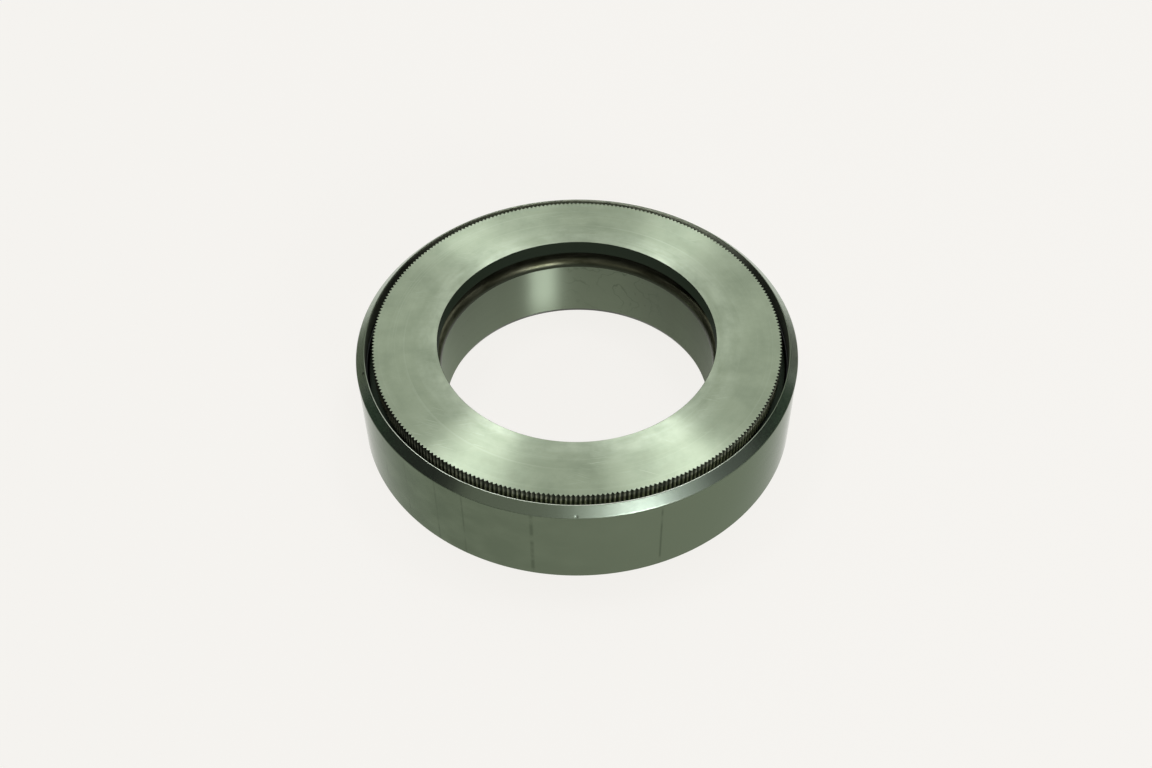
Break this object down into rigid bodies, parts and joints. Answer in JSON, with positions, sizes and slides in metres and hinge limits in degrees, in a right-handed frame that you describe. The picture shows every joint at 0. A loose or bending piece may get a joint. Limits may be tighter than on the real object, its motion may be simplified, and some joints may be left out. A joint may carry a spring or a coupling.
{
  "type": "clutch release bearing",
  "caption": "Clutch release bearing: a chamfered steel housing ring with a plain sleeve bore, holding a knurled thrust ring with a flat ground face that turns on caged balls.",
  "frame": {"origin": "centre of the housing ring's underside, on the bearing's axis", "axes": "+Z along the axis, out of the thrust face; -Y towards the picture's viewer"},
  "size_m": [0.098, 0.098, 0.0225],
  "materials": {
    "housing_steel": "ground bearing steel under a thin oil film",
    "thrust_steel": "face ground in rings, straight knurled edge",
    "cage_sheet": "pressed sheet, satin",
    "spring_wire": "drawn, dark oiled",
    "ball_steel": "polished"
  },
  "bodies": {
    "housing": {"housing_ring": "housing_steel", "retaining_wire": "spring_wire"},
    "thrust_ring": {"thrust_ring": "thrust_steel"},
    "cage": {"ball_cage": "cage_sheet"},
    "ball_01": {"ball_01": "ball_steel"},
    "ball_02": {"ball_02": "ball_steel"},
    "ball_03": {"ball_03": "ball_steel"},
    "ball_04": {"ball_04": "ball_steel"},
    "ball_05": {"ball_05": "ball_steel"},
    "ball_06": {"ball_06": "ball_steel"},
    "ball_07": {"ball_07": "ball_steel"},
    "ball_08": {"ball_08": "ball_steel"},
    "ball_09": {"ball_09": "ball_steel"},
    "ball_10": {"ball_10": "ball_steel"},
    "ball_11": {"ball_11": "ball_steel"},
    "ball_12": {"ball_12": "ball_steel"},
    "ball_13": {"ball_13": "ball_steel"},
    "ball_14": {"ball_14": "ball_steel"},
    "ball_15": {"ball_15": "ball_steel"},
    "ball_16": {"ball_16": "ball_steel"},
    "ball_17": {"ball_17": "ball_steel"},
    "ball_18": {"ball_18": "ball_steel"},
    "ball_19": {"ball_19": "ball_steel"},
    "ball_20": {"ball_20": "ball_steel"}
  },
  "joints": [
    {"name": "ring_spin", "type": "hinge", "parent": "housing", "child": "thrust_ring", "pos_m": [0, 0, 0.0225], "axis": [0, 0, 1], "continuous": true},
    {"name": "cage_orbit", "type": "hinge", "parent": "housing", "child": "cage", "pos_m": [0, 0, 0.01036], "axis": [0, 0, 1], "continuous": true},
    {"name": "ball_01_roll", "type": "hinge", "parent": "cage", "child": "ball_01", "pos_m": [0.04015, 0, 0.01036], "axis": [1, 0, 0], "continuous": true},
    {"name": "ball_02_roll", "type": "hinge", "parent": "cage", "child": "ball_02", "pos_m": [0.03818, 0.01241, 0.01036], "axis": [0.9511, 0.309, 0], "continuous": true},
    {"name": "ball_03_roll", "type": "hinge", "parent": "cage", "child": "ball_03", "pos_m": [0.03248, 0.0236, 0.01036], "axis": [0.809, 0.5878, 0], "continuous": true},
    {"name": "ball_04_roll", "type": "hinge", "parent": "cage", "child": "ball_04", "pos_m": [0.0236, 0.03248, 0.01036], "axis": [0.5878, 0.809, 0], "continuous": true},
    {"name": "ball_05_roll", "type": "hinge", "parent": "cage", "child": "ball_05", "pos_m": [0.01241, 0.03818, 0.01036], "axis": [0.309, 0.9511, 0], "continuous": true},
    {"name": "ball_06_roll", "type": "hinge", "parent": "cage", "child": "ball_06", "pos_m": [0, 0.04015, 0.01036], "axis": [0, 1, 0], "continuous": true},
    {"name": "ball_07_roll", "type": "hinge", "parent": "cage", "child": "ball_07", "pos_m": [-0.01241, 0.03818, 0.01036], "axis": [-0.309, 0.9511, 0], "continuous": true},
    {"name": "ball_08_roll", "type": "hinge", "parent": "cage", "child": "ball_08", "pos_m": [-0.0236, 0.03248, 0.01036], "axis": [-0.5878, 0.809, 0], "continuous": true},
    {"name": "ball_09_roll", "type": "hinge", "parent": "cage", "child": "ball_09", "pos_m": [-0.03248, 0.0236, 0.01036], "axis": [-0.809, 0.5878, 0], "continuous": true},
    {"name": "ball_10_roll", "type": "hinge", "parent": "cage", "child": "ball_10", "pos_m": [-0.03818, 0.01241, 0.01036], "axis": [-0.9511, 0.309, 0], "continuous": true},
    {"name": "ball_11_roll", "type": "hinge", "parent": "cage", "child": "ball_11", "pos_m": [-0.04015, 0, 0.01036], "axis": [-1, 0, 0], "continuous": true},
    {"name": "ball_12_roll", "type": "hinge", "parent": "cage", "child": "ball_12", "pos_m": [-0.03818, -0.01241, 0.01036], "axis": [-0.9511, -0.309, 0], "continuous": true},
    {"name": "ball_13_roll", "type": "hinge", "parent": "cage", "child": "ball_13", "pos_m": [-0.03248, -0.0236, 0.01036], "axis": [-0.809, -0.5878, 0], "continuous": true},
    {"name": "ball_14_roll", "type": "hinge", "parent": "cage", "child": "ball_14", "pos_m": [-0.0236, -0.03248, 0.01036], "axis": [-0.5878, -0.809, 0], "continuous": true},
    {"name": "ball_15_roll", "type": "hinge", "parent": "cage", "child": "ball_15", "pos_m": [-0.01241, -0.03818, 0.01036], "axis": [-0.309, -0.9511, 0], "continuous": true},
    {"name": "ball_16_roll", "type": "hinge", "parent": "cage", "child": "ball_16", "pos_m": [0, -0.04015, 0.01036], "axis": [0, -1, 0], "continuous": true},
    {"name": "ball_17_roll", "type": "hinge", "parent": "cage", "child": "ball_17", "pos_m": [0.01241, -0.03818, 0.01036], "axis": [0.309, -0.9511, 0], "continuous": true},
    {"name": "ball_18_roll", "type": "hinge", "parent": "cage", "child": "ball_18", "pos_m": [0.0236, -0.03248, 0.01036], "axis": [0.5878, -0.809, 0], "continuous": true},
    {"name": "ball_19_roll", "type": "hinge", "parent": "cage", "child": "ball_19", "pos_m": [0.03248, -0.0236, 0.01036], "axis": [0.809, -0.5878, 0], "continuous": true},
    {"name": "ball_20_roll", "type": "hinge", "parent": "cage", "child": "ball_20", "pos_m": [0.03818, -0.01241, 0.01036], "axis": [0.9511, -0.309, 0], "continuous": true}
  ],
  "couplings": [
    {"joint": "cage_orbit", "follows": "ring_spin", "ratio": 0.5},
    {"joint": "ball_01_roll", "follows": "ring_spin", "ratio": -4.2152},
    {"joint": "ball_02_roll", "follows": "ring_spin", "ratio": -4.2152},
    {"joint": "ball_03_roll", "follows": "ring_spin", "ratio": -4.2152},
    {"joint": "ball_04_roll", "follows": "ring_spin", "ratio": -4.2152},
    {"joint": "ball_05_roll", "follows": "ring_spin", "ratio": -4.2152},
    {"joint": "ball_06_roll", "follows": "ring_spin", "ratio": -4.2152},
    {"joint": "ball_07_roll", "follows": "ring_spin", "ratio": -4.2152},
    {"joint": "ball_08_roll", "follows": "ring_spin", "ratio": -4.2152},
    {"joint": "ball_09_roll", "follows": "ring_spin", "ratio": -4.2152},
    {"joint": "ball_10_roll", "follows": "ring_spin", "ratio": -4.2152},
    {"joint": "ball_11_roll", "follows": "ring_spin", "ratio": -4.2152},
    {"joint": "ball_12_roll", "follows": "ring_spin", "ratio": -4.2152},
    {"joint": "ball_13_roll", "follows": "ring_spin", "ratio": -4.2152},
    {"joint": "ball_14_roll", "follows": "ring_spin", "ratio": -4.2152},
    {"joint": "ball_15_roll", "follows": "ring_spin", "ratio": -4.2152},
    {"joint": "ball_16_roll", "follows": "ring_spin", "ratio": -4.2152},
    {"joint": "ball_17_roll", "follows": "ring_spin", "ratio": -4.2152},
    {"joint": "ball_18_roll", "follows": "ring_spin", "ratio": -4.2152},
    {"joint": "ball_19_roll", "follows": "ring_spin", "ratio": -4.2152},
    {"joint": "ball_20_roll", "follows": "ring_spin", "ratio": -4.2152}
  ]
}
